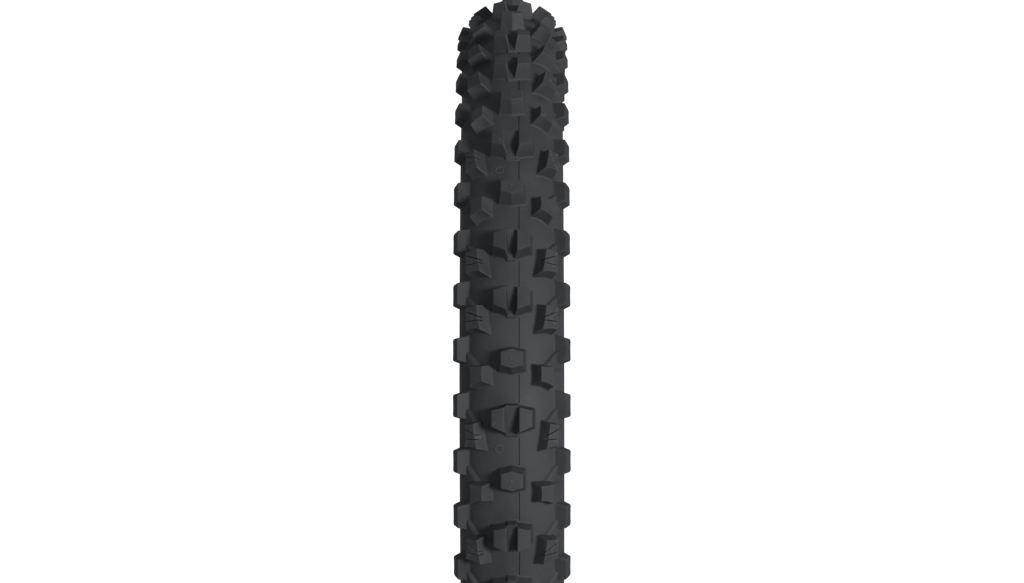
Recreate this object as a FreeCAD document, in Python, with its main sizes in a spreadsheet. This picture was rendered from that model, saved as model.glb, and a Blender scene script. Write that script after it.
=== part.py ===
import FreeCAD, Part
import os
import Sketcher

# Knobbly front tyre for an off-road motorcycle, size 80/100-21, millimetres.
# The origin is the wheel centre, the wheel spins about +Y and +Z is up. A row of
# knobs stands every 8 degrees, and five rows (one wide split knob, one hexagon,
# two narrow split knobs, one hexagon) repeat nine times around the tyre.

Vector = FreeCAD.Vector
Rotation = FreeCAD.Rotation
Placement = FreeCAD.Placement

DIMENSIONS = {
    # tread rows, in degrees around the wheel
    "row_pitch": 8,
    "rows_per_repeat": 5,
    "repeat_count": 9,
    "first_row_angle": 3.3,
    "plain_knob_lag": 1.95,
    "siped_knob_lag": 2.3,
    "shoulder_knob_lead": 1.75,
    # casing section: the arcs that its outer surface is made of
    "crown_radius": 333.5,
    "crown_arc": 46,
    "crown_arc_end": 48,
    "shoulder_arc": 29.5,
    "tread_edge_angle": 84,
    "sidewall_arc": 17.2,
    "rim_half_width": 20.3,
    "bead_seat_radius": 266.7,
    # depths of the layers below that surface
    "undertread_depth": 3.4,
    "sidewall_step": 1.0,
    "turnup_depth": 2.4,
    "ply_depth": 4.2,
    "ply_thickness": 0.9,
    "liner_thickness": 0.8,
    "turnup_end_angle": 65,
    "foot_cut_radius": 295,
    # bead
    "bead_wire_pitch": 1.2,
    "bead_wire_rows": 4,
    "bead_wrap_thickness": 0.6,
    "chafer_leg_height": 7.3,
    # thin moulded ribs on the sidewall
    "rib_height": 0.9,
    "rim_rib_angle": 150,
    "scuff_rib_angle": 112,
    "rib_half_angle": 2.6,
    # knobs of the middle row
    "tread_radius": 346.5,
    "knob_ramp": 8,
    "middle_knob_rise": 18,
    "hexagon_half_width": 8.5,
    "hexagon_side": 5.2,
    "hexagon_tip": 7.7,
    "hexagon_spread": 3.2,
    "hexagon_upper_spread": 3.1,
    "hexagon_lower_spread": 5.2,
    "split_half_height": 9.7,
    "split_outer_top": 7.2,
    "split_outer_bottom": 5.2,
    "split_spread": 2.2,
    "split_upper_spread": 0.8,
    "split_lower_spread": 2.4,
    "split_groove_upper_spread": 2.0,
    "split_groove_lower_spread": 4.2,
    "split_face_tilt": 11.4,
    "split_face_radius": 347.4,
    "wide_half_width": 16,
    "wide_half_groove": 6.1,
    "wide_groove_foot": 0.6,
    "narrow_half_width": 14.4,
    "narrow_half_groove": 4.55,
    "narrow_groove_foot": 0.4,
    "groove_floor_radius": 338.6,
    "groove_floor_ramp": 15,
    "groove_tip_top": 10.9,
    "groove_tip_bottom": 13.2,
    "groove_tip_spread": 1.6,
    "groove_tip_share": 0.8,
    # knobs between the middle and the shoulder
    "side_knob_rise": 16,
    "side_knob_spread": 2.6,
    "side_knob_upper_spread": 2.6,
    "side_knob_lower_spread": 3.4,
    "plain_lateral": 28.4,
    "plain_radius": 336.1,
    "plain_tilt": 34,
    "plain_half_width": 6.2,
    "plain_half_height": 5.9,
    "plain_outer_bottom": 10.2,
    "siped_half_height": 10,
    "siped_slant": 1.7,
    "siped_outer_cut": 1.5,
    "narrow_siped_lateral": 31.5,
    "narrow_siped_radius": 334.2,
    "narrow_siped_tilt": 36,
    "narrow_siped_half_width": 6.4,
    "wide_siped_lateral": 33.2,
    "wide_siped_radius": 332.9,
    "wide_siped_tilt": 37,
    "wide_siped_half_width": 5.2,
    "sipe_width": 0.9,
    "sipe_depth": 5,
    "sipe_overrun": 3,
    "sipe_slope": 23,
    "upper_sipe_height": 3.2,
    "lower_sipe_height": 2.4,
    # shoulder knobs and the low webs that tie them to the knobs beside them
    "shoulder_lateral": 44.8,
    "shoulder_radius": 317.2,
    "shoulder_tilt": 67,
    "shoulder_rise": 14,
    "shoulder_half_width": 4.8,
    "shoulder_half_length": 8.8,
    "shoulder_corner": 1.4,
    "shoulder_spread": 2.4,
    "shoulder_end_spread": 3.8,
    "web_lateral": 33.5,
    "web_radius": 322.2,
    "web_tilt": 44,
    "web_rise": 9,
    "web_half_length": 6.5,
    "web_inner_top": -1,
    "web_inner_bottom": 11,
    "web_outer": 6,
    "web_outer_taper": 1.5,
    "web_spread": 0.8,
    "web_end_spread": 0.2,
    # small moulded details
    "vent_nub_radius": 0.8,
    "vent_nub_height": 0.5,
    "mould_ring_radius": 3.4,
    "mould_ring_width": 0.7,
    "mould_ring_height": 0.5,
    "mould_ring_lateral": 9.7,
    "mould_ring_lag": 4,
}

doc = FreeCAD.newDocument("MotorcycleTyre")
sheet = doc.addObject("Spreadsheet::Sheet", "Dimensions")
for line, (alias, number) in enumerate(DIMENSIONS.items(), start=1):
    sheet.set(f"A{line}", str(number))
    sheet.setAlias(f"A{line}", alias)
doc.recompute()

# The section's curves, as expressions of the sheet. "across" is measured from the
# middle of the tyre and "out" from the spin axis.
CROWN_OUT = "(Dimensions.crown_radius - Dimensions.crown_arc)"
CROWN_END = "(Dimensions.crown_arc_end * 1deg)"
SHOULDER_ACROSS = f"((Dimensions.crown_arc - Dimensions.shoulder_arc) * sin({CROWN_END}))"
SHOULDER_OUT = f"({CROWN_OUT} + (Dimensions.crown_arc - Dimensions.shoulder_arc) * cos({CROWN_END}))"
SIDEWALL_ACROSS = f"({SHOULDER_ACROSS} + Dimensions.shoulder_arc - Dimensions.sidewall_arc)"
HEEL_ARC = f"({SIDEWALL_ACROSS} - Dimensions.rim_half_width)"
OPPOSITE_CROWN_END = f"(-1 * {CROWN_END})"
HEEL_OUT = f"({SHOULDER_OUT} - Dimensions.sidewall_arc - {HEEL_ARC})"
BEAD_SEAT = "Dimensions.bead_seat_radius"
STEP = "Dimensions.sidewall_step"
TURNUP = "Dimensions.turnup_depth"
PLY = "Dimensions.ply_thickness"
PLY_DEPTH = "Dimensions.ply_depth"
INNER_PLY_DEPTH = f"({PLY_DEPTH} + {PLY})"
LINER_DEPTH = f"({PLY_DEPTH} + 2 * {PLY})"
CAVITY_DEPTH = f"({LINER_DEPTH} + Dimensions.liner_thickness)"
CORE_SIZE = "(Dimensions.bead_wire_pitch * Dimensions.bead_wire_rows)"
BEAD_WIDTH = f"({CORE_SIZE} + 2 * Dimensions.bead_wrap_thickness)"
WRAP_OUT = f"({BEAD_SEAT} + {STEP} + 2 * {PLY})"


def number(expression):
    """The value of an expression of the sheet's cells."""
    return float(sheet.evalExpression(expression))


def origin_plane(body, role):
    return [item for item in body.Origin.OriginFeatures if item.Role == role][0]


def new_body(label):
    body = doc.addObject("PartDesign::Body", label)
    body.Label = label
    return body


def pin_point(sketch, geometry, end, x, y):
    """Fix one end of a line or arc at coordinates bound to the sheet."""
    for kind, axis, expression in (("DistanceX", -2, x), ("DistanceY", -1, y)):
        value = number(expression)
        if abs(value) < 1e-9:
            sketch.addConstraint(Sketcher.Constraint("PointOnObject", geometry, end, axis))
        else:
            constraint = Sketcher.Constraint(kind, -1, 1, geometry, end, value)
            index = sketch.addConstraint(constraint)
            sketch.setExpression(f"Constraints[{index}]", expression)


def close_outline(sketch, outline):
    """Draw a closed outline of (x, y, bend) points; bend is None or (middle x, middle y, radius)."""
    ends = []
    for (x, y, bend), (next_x, next_y, _) in zip(outline, outline[1:] + outline[:1]):
        start = Vector(number(x), number(y), 0)
        stop = Vector(number(next_x), number(next_y), 0)
        if bend is None:
            geometry = sketch.addGeometry(Part.LineSegment(start, stop), False)
        else:
            middle = Vector(number(bend[0]), number(bend[1]), 0)
            geometry = sketch.addGeometry(Part.Arc(start, middle, stop), False)
        first_end = 1 if sketch.getPoint(geometry, 1).distanceToPoint(start) < 1e-6 else 2
        ends.append((geometry, first_end, 3 - first_end))
    for (geometry, first_end, last_end), (following, following_end, _) in zip(ends, ends[1:] + ends[:1]):
        link = Sketcher.Constraint("Coincident", geometry, last_end, following, following_end)
        sketch.addConstraint(link)
    for (x, y, bend), (geometry, first_end, _) in zip(outline, ends):
        pin_point(sketch, geometry, first_end, x, y)
        if bend is not None:
            index = sketch.addConstraint(Sketcher.Constraint("Radius", geometry, number(bend[2])))
            sketch.setExpression(f"Constraints[{index}]", bend[2])


def new_sketch(body, name, plane, outlines):
    sketch = body.newObject("Sketcher::SketchObject", name)
    sketch.AttachmentSupport = [(origin_plane(body, plane), "")]
    sketch.MapMode = "FlatFace"
    for outline in outlines:
        close_outline(sketch, outline)
    return sketch


# Section curves: points are (out, across) in a sketch on the XY plane.

def crown_point(angle, depth):
    reach = f"(Dimensions.crown_arc - {depth})"
    return f"{CROWN_OUT} + {reach} * cos({angle})", f"{reach} * sin({angle})"


def shoulder_point(angle, depth):
    reach = f"(Dimensions.shoulder_arc - {depth})"
    return f"{SHOULDER_OUT} + {reach} * cos({angle})", f"{SHOULDER_ACROSS} + {reach} * sin({angle})"


def sidewall_point(angle, depth):
    reach = f"(Dimensions.sidewall_arc - {depth})"
    return f"{SHOULDER_OUT} + {reach} * cos({angle})", f"{SIDEWALL_ACROSS} + {reach} * sin({angle})"


def heel_point(angle, depth, shift="0"):
    reach = f"({HEEL_ARC} + {depth})"
    return f"{HEEL_OUT} + {reach} * sin({angle})", f"{SIDEWALL_ACROSS} - {shift} - {reach} * cos({angle})"


def bend_through(point, first, last, depth, radius, **options):
    """A start point with the arc that leaves it for the next point."""
    middle = point(f"(({first} + {last}) / 2)", depth, **options)
    return point(first, depth, **options) + (middle + (radius,),)


def crown_bend(first, last, depth):
    return bend_through(crown_point, first, last, depth, f"Dimensions.crown_arc - {depth}")


def shoulder_bend(first, last, depth):
    return bend_through(shoulder_point, first, last, depth, f"Dimensions.shoulder_arc - {depth}")


def sidewall_bend(first, last, depth):
    return bend_through(sidewall_point, first, last, depth, f"Dimensions.sidewall_arc - {depth}")


def heel_bend(first, last, depth, shift="0"):
    return bend_through(heel_point, first, last, depth, f"{HEEL_ARC} + {depth}", shift=shift)


def corner(out, across):
    return (out, across, None)


def straight(point):
    return point + (None,)


def flip(path):
    """The same open path on the other side of the tyre."""
    flipped = []
    for out, across, bend in path:
        if bend is not None:
            bend = (bend[0], f"-({bend[1]})", bend[2])
        flipped.append((out, f"-({across})", bend))
    return flipped


def reverse(path):
    """The same open path, run the other way."""
    backwards = []
    for index in range(len(path) - 1, -1, -1):
        out, across, _ = path[index]
        bend = path[index - 1][2] if index > 0 else None
        backwards.append((out, across, bend))
    return backwards


def over_crown(near, far, near_depth, far_depth):
    """Closed outline, over the crown, of a layer whose two faces are given on one side."""
    near_back = reverse(flip(near))
    near_back[-1] = crown_bend(OPPOSITE_CROWN_END, CROWN_END, near_depth)
    far_back = reverse(far)
    far_back[-1] = crown_bend(CROWN_END, OPPOSITE_CROWN_END, far_depth)
    return near_back + near + far_back + flip(far)


def revolve(label, outlines):
    """A ring around the spin axis from outlines in the XY plane."""
    body = new_body(label)
    sketch = new_sketch(body, f"{label}_section", "XY_Plane", outlines)
    ring = body.newObject("PartDesign::Revolution", f"{label}_revolution")
    ring.Profile = (sketch, [""])
    ring.ReferenceAxis = (sketch, ["V_Axis"])
    ring.Angle = 360
    body.Tip = ring
    return body


def mirror_part(source, label):
    twin = doc.addObject("Part::Mirroring", label)
    twin.Label = label
    twin.Source = source
    twin.Normal = Vector(0, 1, 0)
    return twin


TREAD_EDGE = "(Dimensions.tread_edge_angle * 1deg)"
RECESS = "Dimensions.undertread_depth"


def tread_base():
    """Undertread, thinner over the crown so that the breaker lies in its recess."""
    outer = [
        shoulder_bend(CROWN_END, TREAD_EDGE, "0"),
        straight(shoulder_point(TREAD_EDGE, "0")),
    ]
    inner = [
        straight(crown_point(CROWN_END, RECESS)),
        shoulder_bend(CROWN_END, TREAD_EDGE, PLY_DEPTH),
        straight(shoulder_point(TREAD_EDGE, PLY_DEPTH)),
    ]
    return revolve("tread_base", [over_crown(outer, inner, "0", RECESS)])


def breaker_ply():
    """Fabric strip between the undertread and the carcass, under the crown only."""
    outer = [straight(crown_point(CROWN_END, RECESS))]
    inner = [straight(crown_point(CROWN_END, PLY_DEPTH))]
    return revolve("breaker_ply", [over_crown(outer, inner, RECESS, PLY_DEPTH)])


def down_to_bead(depth):
    """One face of a layer from the crown down the inside of the bead."""
    return [
        shoulder_bend(CROWN_END, "90deg", depth),
        sidewall_bend("90deg", "180deg", depth),
        straight(sidewall_point("180deg", depth)),
        heel_bend("90deg", "0deg", depth, shift=BEAD_WIDTH),
        straight(heel_point("0deg", depth, shift=BEAD_WIDTH)),
    ]


def ply_face(main_depth, turnup_depth, seat_clearance):
    """One face of a carcass ply on one side: down inside the bead, under it and up again."""
    leg = f"Dimensions.rim_half_width - {main_depth} - {BEAD_WIDTH}"
    seat = f"{BEAD_SEAT} + {seat_clearance}"
    rise = f"Dimensions.rim_half_width - {turnup_depth}"
    top = "(Dimensions.turnup_end_angle * 1deg)"
    return down_to_bead(main_depth) + [
        straight((seat, leg)),
        straight((seat, rise)),
        heel_bend("0deg", top, turnup_depth),
        straight(heel_point(top, turnup_depth)),
    ]


def carcass_ply(label, main_depth, turnup_depth, seat_clearance):
    """A rubbered fabric ply, wrapped round both beads from the inside to the outside."""
    below = f"({main_depth} + {PLY})"
    bead_face = ply_face(main_depth, turnup_depth, seat_clearance)
    far_face = ply_face(below, f"({turnup_depth} - {PLY})", f"({seat_clearance} - {PLY})")
    return revolve(label, [over_crown(bead_face, far_face, main_depth, below)])


def inner_liner():
    """Thin soft layer that faces the tube, from bead toe to bead toe."""
    seat = f"{BEAD_SEAT} + {STEP}"
    faces = []
    for depth in (LINER_DEPTH, CAVITY_DEPTH):
        leg = f"Dimensions.rim_half_width - {depth} - {BEAD_WIDTH}"
        faces.append(down_to_bead(depth) + [straight((seat, leg))])
    return revolve("inner_liner", [over_crown(faces[0], faces[1], LINER_DEPTH, CAVITY_DEPTH)])


def sidewall():
    """Sidewall rubber from the tread edge down to the heel of the bead."""
    top = "(Dimensions.turnup_end_angle * 1deg)"
    seat = f"{BEAD_SEAT} + {STEP}"
    outline = [
        shoulder_bend(TREAD_EDGE, "90deg", STEP),
        sidewall_bend("90deg", "180deg", STEP),
        heel_bend("90deg", "0deg", STEP),
        straight(heel_point("0deg", STEP)),
        straight((seat, f"Dimensions.rim_half_width - {STEP}")),
        straight((seat, f"Dimensions.rim_half_width - {TURNUP}")),
        heel_bend("0deg", top, TURNUP),
        straight(heel_point(top, TURNUP)),
        heel_bend(top, "90deg", PLY_DEPTH),
        sidewall_bend("180deg", "90deg", PLY_DEPTH),
        shoulder_bend("90deg", TREAD_EDGE, PLY_DEPTH),
        straight(shoulder_point(TREAD_EDGE, PLY_DEPTH)),
    ]
    return revolve("sidewall_right", [outline])


def chafer():
    """Rubbing strip round the outside, the seat and the toe of the bead."""
    toe = f"Dimensions.rim_half_width - {CAVITY_DEPTH} - {BEAD_WIDTH}"
    seat = f"{BEAD_SEAT} + {STEP}"
    leg_top = f"{BEAD_SEAT} + Dimensions.chafer_leg_height"
    outline = [
        straight((BEAD_SEAT, "Dimensions.rim_half_width")),
        heel_bend("0deg", "90deg", "0"),
        straight(heel_point("90deg", "0")),
        heel_bend("90deg", "0deg", STEP),
        straight(heel_point("0deg", STEP)),
        straight((seat, f"Dimensions.rim_half_width - {STEP}")),
        straight((seat, toe)),
        straight((leg_top, toe)),
        straight((leg_top, f"{toe} - {STEP}")),
        straight((BEAD_SEAT, f"{toe} - {STEP}")),
    ]
    return revolve("chafer_right", [outline])


def apex_filler():
    """Hard rubber wedge on the bead that fills the space between the ply and its turn-up."""
    core_top = f"{WRAP_OUT} + {BEAD_WIDTH}"
    outer = f"Dimensions.rim_half_width - {PLY_DEPTH}"
    outline = [
        straight((core_top, outer)),
        heel_bend("0deg", "90deg", PLY_DEPTH),
        straight(heel_point("90deg", PLY_DEPTH)),
        heel_bend("90deg", "0deg", PLY_DEPTH, shift=BEAD_WIDTH),
        straight(heel_point("0deg", PLY_DEPTH, shift=BEAD_WIDTH)),
        straight((core_top, f"{outer} - {BEAD_WIDTH}")),
    ]
    return revolve("apex_filler_right", [outline])


def bead_wrap():
    """Fabric wrap round the bundle of bead wires."""
    outer = f"Dimensions.rim_half_width - {PLY_DEPTH}"
    wrap = "Dimensions.bead_wrap_thickness"
    outlines = []
    for inset in ("0", wrap):
        low = f"{WRAP_OUT} + {inset}"
        high = f"{WRAP_OUT} + {BEAD_WIDTH} - {inset}"
        near = f"{outer} - {inset}"
        far = f"{outer} - {BEAD_WIDTH} + {inset}"
        outlines.append([straight(point) for point in ((low, near), (high, near), (high, far), (low, far))])
    return revolve("bead_wrap_right", outlines)


def bead_core():
    """Rubber-coated steel wire, wound side by side and layer on layer."""
    wires = []
    count = int(number("Dimensions.bead_wire_rows"))
    first_out = f"{WRAP_OUT} + Dimensions.bead_wrap_thickness"
    first_across = f"Dimensions.rim_half_width - {PLY_DEPTH} - Dimensions.bead_wrap_thickness"
    for layer in range(count):
        for turn in range(count):
            wire = doc.addObject("Part::Torus", f"bead_wire_{layer}_{turn}")
            wire.Placement = Placement(Vector(0, 0, 0), Rotation(Vector(1, 0, 0), -90))
            pitch = "Dimensions.bead_wire_pitch"
            wire.setExpression("Radius1", f"{first_out} + {pitch} * {layer + 0.5}")
            wire.setExpression("Radius2", f"{pitch} / 2")
            wire.setExpression("Placement.Base.y", f"{first_across} - {pitch} * {turn + 0.5}")
            wires.append(wire)
    bundle = doc.addObject("Part::Compound", "bead_core_right")
    bundle.Label = "bead_core_right"
    bundle.Links = wires
    return bundle


def sidewall_rib(label, middle_angle):
    """Low moulded rib that runs round the sidewall."""
    half = "Dimensions.rib_half_angle"
    first = f"(({middle_angle} - {half}) * 1deg)"
    last = f"(({middle_angle} + {half}) * 1deg)"
    outer = f"({STEP} - Dimensions.rib_height)"
    outline = [
        sidewall_bend(first, last, outer),
        straight(sidewall_point(last, outer)),
        sidewall_bend(last, first, STEP),
        straight(sidewall_point(first, STEP)),
    ]
    return revolve(label, [outline])


# Knobs. A sketch on the YZ plane has x across the tyre and y along the tread (towards
# the next row). Each knob is lofted from a foot sunk below the tread to its face, repeated
# around the wheel, and its foot is then cut back to the tread's own surface.


def place_on_tread(sketch, lateral, radius, tilt, ramp):
    """Put a sketch's plane on the tread, tilted outwards and ramped along the tread."""
    turn = Rotation(Vector(0, 1, 0), number(tilt)).multiply(Rotation(Vector(1, 0, 0), -number(ramp)))
    sketch.AttachmentOffset = Placement(Vector(number(lateral), 0, number(radius)), turn)
    sketch.setExpression(".AttachmentOffset.Base.x", lateral)
    sketch.setExpression(".AttachmentOffset.Base.z", radius)


def tread_plane_sketch(body, name, points, lateral, radius, tilt, ramp="0"):
    """Outline of (x, y) expressions in a plane tilted outwards and ramped along the tread."""
    outline = [(x, y, None) for x, y in points]
    sketch = new_sketch(body, name, "YZ_Plane", [outline])
    place_on_tread(sketch, lateral, radius, tilt, ramp)
    return sketch


def repeat_rows(body, features, label, second_row=None, every_row=False):
    """Copies of the features round the spin axis: in every repeat, or in every row."""
    axis = [item for item in body.Origin.OriginFeatures if item.Role == "Y_Axis"][0]
    steps = []
    if every_row:
        steps.append(("360", "Dimensions.repeat_count * Dimensions.rows_per_repeat"))
    else:
        if second_row is not None:
            steps.append((f"{second_row} * Dimensions.row_pitch", "2"))
        steps.append(("360", "Dimensions.repeat_count"))
    rows = body.newObject("PartDesign::MultiTransform", f"{label}_rows")
    rows.Originals = features
    patterns = []
    for index, (angle, count) in enumerate(steps):
        pattern = doc.addObject("PartDesign::PolarPattern", f"{label}_pattern_{index}")
        body.addObject(pattern)
        pattern.Axis = (axis, [""])
        pattern.Angle = number(angle)
        pattern.setExpression("Angle", angle)
        pattern.Occurrences = int(number(count))
        pattern.setExpression("Occurrences", count)
        patterns.append(pattern)
    rows.Transformations = patterns
    body.Tip = rows
    return rows


def cut_feet(body, label):
    """Cut the sunken feet back to the outer surface of the tread base."""
    side = [
        shoulder_bend(CROWN_END, TREAD_EDGE, "0"),
        straight(shoulder_point(TREAD_EDGE, "0")),
        straight(("Dimensions.foot_cut_radius", shoulder_point(TREAD_EDGE, "0")[1])),
    ]
    back = reverse(flip(side))
    back[-1] = crown_bend(OPPOSITE_CROWN_END, CROWN_END, "0")
    sketch = new_sketch(body, f"{label}_foot_section", "XY_Plane", [back + side])
    before = body.Shape.Volume
    groove = body.newObject("PartDesign::Groove", f"{label}_foot_cut")
    groove.Profile = (sketch, [""])
    groove.ReferenceAxis = (sketch, ["V_Axis"])
    groove.Angle = 360
    body.Tip = groove
    doc.recompute()
    if body.Shape.Volume >= before:
        raise RuntimeError(f"{label}: the foot cut removed nothing")


def turn_to_row(body, row, lead="0"):
    """Turn the body so that its first knob stands at its row's angle above +X."""
    angle = f"Dimensions.first_row_angle + {row} * Dimensions.row_pitch + {lead}"
    body.Placement = Placement(Vector(0, 0, 0), Rotation(Vector(0, -1, 0), number(angle)))
    body.setExpression("Placement.Rotation.Angle", angle)


def loft_knob(body, label, face, foot, rise, lateral, radius, tilt="0", ramp="0", crowned_face=None):
    """One knob between its face outline and its larger foot outline.

    crowned_face is (radius, tilt) of a face that leans more than the knob does.
    """
    lean = f"({tilt} * 1deg)"
    face_radius, face_tilt = crowned_face or (radius, tilt)
    face_sketch = tread_plane_sketch(body, f"{label}_face", face, lateral, face_radius, face_tilt, ramp)
    foot_sketch = tread_plane_sketch(
        body, f"{label}_foot", foot,
        f"{lateral} - {rise} * sin({lean})", f"{radius} - {rise} * cos({lean})", tilt)
    knob = body.newObject("PartDesign::AdditiveLoft", f"{label}_block")
    knob.Profile = (foot_sketch, [""])
    knob.Sections = [(face_sketch, [""])]
    knob.Ruled = True
    return knob


def spread_outline(points, across, up, down):
    """A foot outline: face points moved outwards by the walls' draft."""
    foot = []
    for x, y in points:
        side = number(x)
        x_shift = "" if abs(side) < 1e-9 else (f" + {across}" if side > 0 else f" - {across}")
        y_shift = f" + {up}" if number(y) > 0 else f" - {down}"
        foot.append((x + x_shift, y + y_shift))
    return foot


def hexagon_knobs():
    half = "Dimensions.hexagon_half_width"
    side = "Dimensions.hexagon_side"
    tip = "Dimensions.hexagon_tip"
    face = [
        (half, side), ("0", tip), (f"-{half}", side),
        (f"-{half}", f"-{side}"), ("0", f"-{tip}"), (half, f"-{side}"),
    ]
    foot = spread_outline(
        face, "Dimensions.hexagon_spread", "Dimensions.hexagon_upper_spread",
        "Dimensions.hexagon_lower_spread")
    label = "hexagon_knobs"
    body = new_body(label)
    knob = loft_knob(body, label, face, foot, "Dimensions.middle_knob_rise", "0",
                     "Dimensions.tread_radius", ramp="Dimensions.knob_ramp")
    doc.recompute()
    repeat_rows(body, [knob], label, second_row=2)
    doc.recompute()
    cut_feet(body, label)
    turn_to_row(body, 1)
    return body


def split_knobs(kind, row, second_row):
    """The right halves of the split knobs in one kind of row.

    The groove beside them narrows downwards, and their faces lean outwards with the crown.
    """
    half_width = f"Dimensions.{kind}_half_width"
    half_groove = f"Dimensions.{kind}_half_groove"
    groove_foot = f"Dimensions.{kind}_groove_foot"
    label = f"{kind}_split_knobs_right"
    height = "Dimensions.split_half_height"
    spread = "Dimensions.split_spread"
    up = "Dimensions.split_upper_spread"
    down = "Dimensions.split_lower_spread"
    face = [
        (half_groove, height), (half_groove, f"-{height}"),
        (half_width, "-Dimensions.split_outer_bottom"), (half_width, "Dimensions.split_outer_top"),
    ]
    foot = [
        (groove_foot, f"{height} + Dimensions.split_groove_upper_spread"),
        (groove_foot, f"-{height} - Dimensions.split_groove_lower_spread"),
        (f"{half_width} + {spread}", f"-Dimensions.split_outer_bottom - {down}"),
        (f"{half_width} + {spread}", f"Dimensions.split_outer_top + {up}"),
    ]
    body = new_body(label)
    knob = loft_knob(body, label, face, foot, "Dimensions.middle_knob_rise", "0",
                     "Dimensions.tread_radius", ramp="Dimensions.knob_ramp",
                     crowned_face=("Dimensions.split_face_radius", "Dimensions.split_face_tilt"))
    doc.recompute()
    repeat_rows(body, [knob], label, second_row=second_row)
    doc.recompute()
    cut_feet(body, label)
    turn_to_row(body, row)
    return body


def groove_floor_blanks(kind, row, second_row):
    """Raised floors between the two halves of the split knobs, before the halves cut them.

    They climb towards the next row and run out near the tread at their lower end.
    """
    half_groove = f"Dimensions.{kind}_half_groove"
    label = f"{kind}_groove_floor_blanks"
    height = "Dimensions.split_half_height"
    spread = "Dimensions.groove_tip_spread"
    top = "Dimensions.groove_tip_top"
    bottom = "Dimensions.groove_tip_bottom"
    up = "Dimensions.split_upper_spread"
    down = "Dimensions.split_lower_spread"
    tip = f"{half_groove} * Dimensions.groove_tip_share"
    face = [
        (half_groove, height), (tip, top), (f"-{tip}", top), (f"-{half_groove}", height),
        (f"-{half_groove}", f"-{height}"), (f"-{tip}", f"-{bottom}"), (tip, f"-{bottom}"),
        (half_groove, f"-{height}"),
    ]
    foot = [
        (half_groove, f"{height} + {up}"), (tip, f"{top} + {spread}"), (f"-{tip}", f"{top} + {spread}"),
        (f"-{half_groove}", f"{height} + {up}"), (f"-{half_groove}", f"-{height} - {down}"),
        (f"-{tip}", f"-{bottom} - {spread}"), (tip, f"-{bottom} - {spread}"),
        (half_groove, f"-{height} - {down}"),
    ]
    body = new_body(label)
    rise = "(Dimensions.middle_knob_rise - Dimensions.tread_radius + Dimensions.groove_floor_radius)"
    knob = loft_knob(body, label, face, foot, rise, "0", "Dimensions.groove_floor_radius",
                     ramp="-Dimensions.groove_floor_ramp")
    doc.recompute()
    repeat_rows(body, [knob], label, second_row=second_row)
    doc.recompute()
    cut_feet(body, label)
    turn_to_row(body, row)
    return body


def plain_knobs():
    """Right-hand knobs beside the hexagons; the lower outer corner reaches furthest."""
    half = "Dimensions.plain_half_width"
    height = "Dimensions.plain_half_height"
    face = [
        (half, height), (f"-{half}", height), (f"-{half}", f"-{height}"),
        (half, "-Dimensions.plain_outer_bottom"),
    ]
    foot = spread_outline(face, "Dimensions.side_knob_spread", "Dimensions.side_knob_upper_spread",
                          "Dimensions.side_knob_lower_spread")
    label = "plain_side_knobs_right"
    body = new_body(label)
    knob = loft_knob(body, label, face, foot, "Dimensions.side_knob_rise", "Dimensions.plain_lateral",
                     "Dimensions.plain_radius", tilt="Dimensions.plain_tilt")
    doc.recompute()
    repeat_rows(body, [knob], label, second_row=2)
    doc.recompute()
    cut_feet(body, label)
    turn_to_row(body, 1, "-Dimensions.plain_knob_lag")
    return body


def siped_knobs(kind, row, second_row):
    """Right-hand knobs beside the split knobs, with two sipes cut into each face."""
    label = f"{kind}_siped_side_knobs_right"
    half = f"Dimensions.{kind}_siped_half_width"
    height = "Dimensions.siped_half_height"
    slant = "Dimensions.siped_slant"
    lateral = f"Dimensions.{kind}_siped_lateral"
    radius = f"Dimensions.{kind}_siped_radius"
    tilt = f"Dimensions.{kind}_siped_tilt"
    cut = "Dimensions.siped_outer_cut"
    face = [
        (half, f"{height} - {cut}"), (f"-{half} + {slant}", height), (f"-{half} - {slant}", f"-{height}"),
        (half, f"-{height} + {cut}"),
    ]
    foot = spread_outline(face, "Dimensions.side_knob_spread", "Dimensions.side_knob_upper_spread",
                          "Dimensions.side_knob_lower_spread")
    body = new_body(label)
    knob = loft_knob(body, label, face, foot, "Dimensions.side_knob_rise", lateral, radius, tilt=tilt)
    doc.recompute()
    features = [knob]
    reach = f"({half} + Dimensions.sipe_overrun)"
    width = "Dimensions.sipe_width"
    climb = f"{reach} * tan(Dimensions.sipe_slope * 1deg)"
    for name, middle, rise in (("upper", "Dimensions.upper_sipe_height", climb),
                               ("lower", "-Dimensions.lower_sipe_height", "0")):
        slot = [
            (reach, f"{middle} + {rise} + {width} / 2"), (f"-{reach}", f"{middle} - {rise} + {width} / 2"),
            (f"-{reach}", f"{middle} - {rise} - {width} / 2"), (reach, f"{middle} + {rise} - {width} / 2"),
        ]
        sketch = tread_plane_sketch(body, f"{label}_{name}_sipe", slot, lateral, radius, tilt)
        sipe = body.newObject("PartDesign::Pocket", f"{label}_{name}_sipe_cut")
        sipe.Profile = (sketch, [""])
        sipe.Length = number("Dimensions.sipe_depth")
        sipe.setExpression("Length", "Dimensions.sipe_depth")
        before = knob.Shape.Volume
        doc.recompute()
        if sipe.Shape.Volume >= before:
            raise RuntimeError(f"{label}: a sipe cut nothing")
        features.append(sipe)
    repeat_rows(body, features, label, second_row=second_row)
    doc.recompute()
    cut_feet(body, label)
    turn_to_row(body, row, "-Dimensions.siped_knob_lag")
    return body


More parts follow.
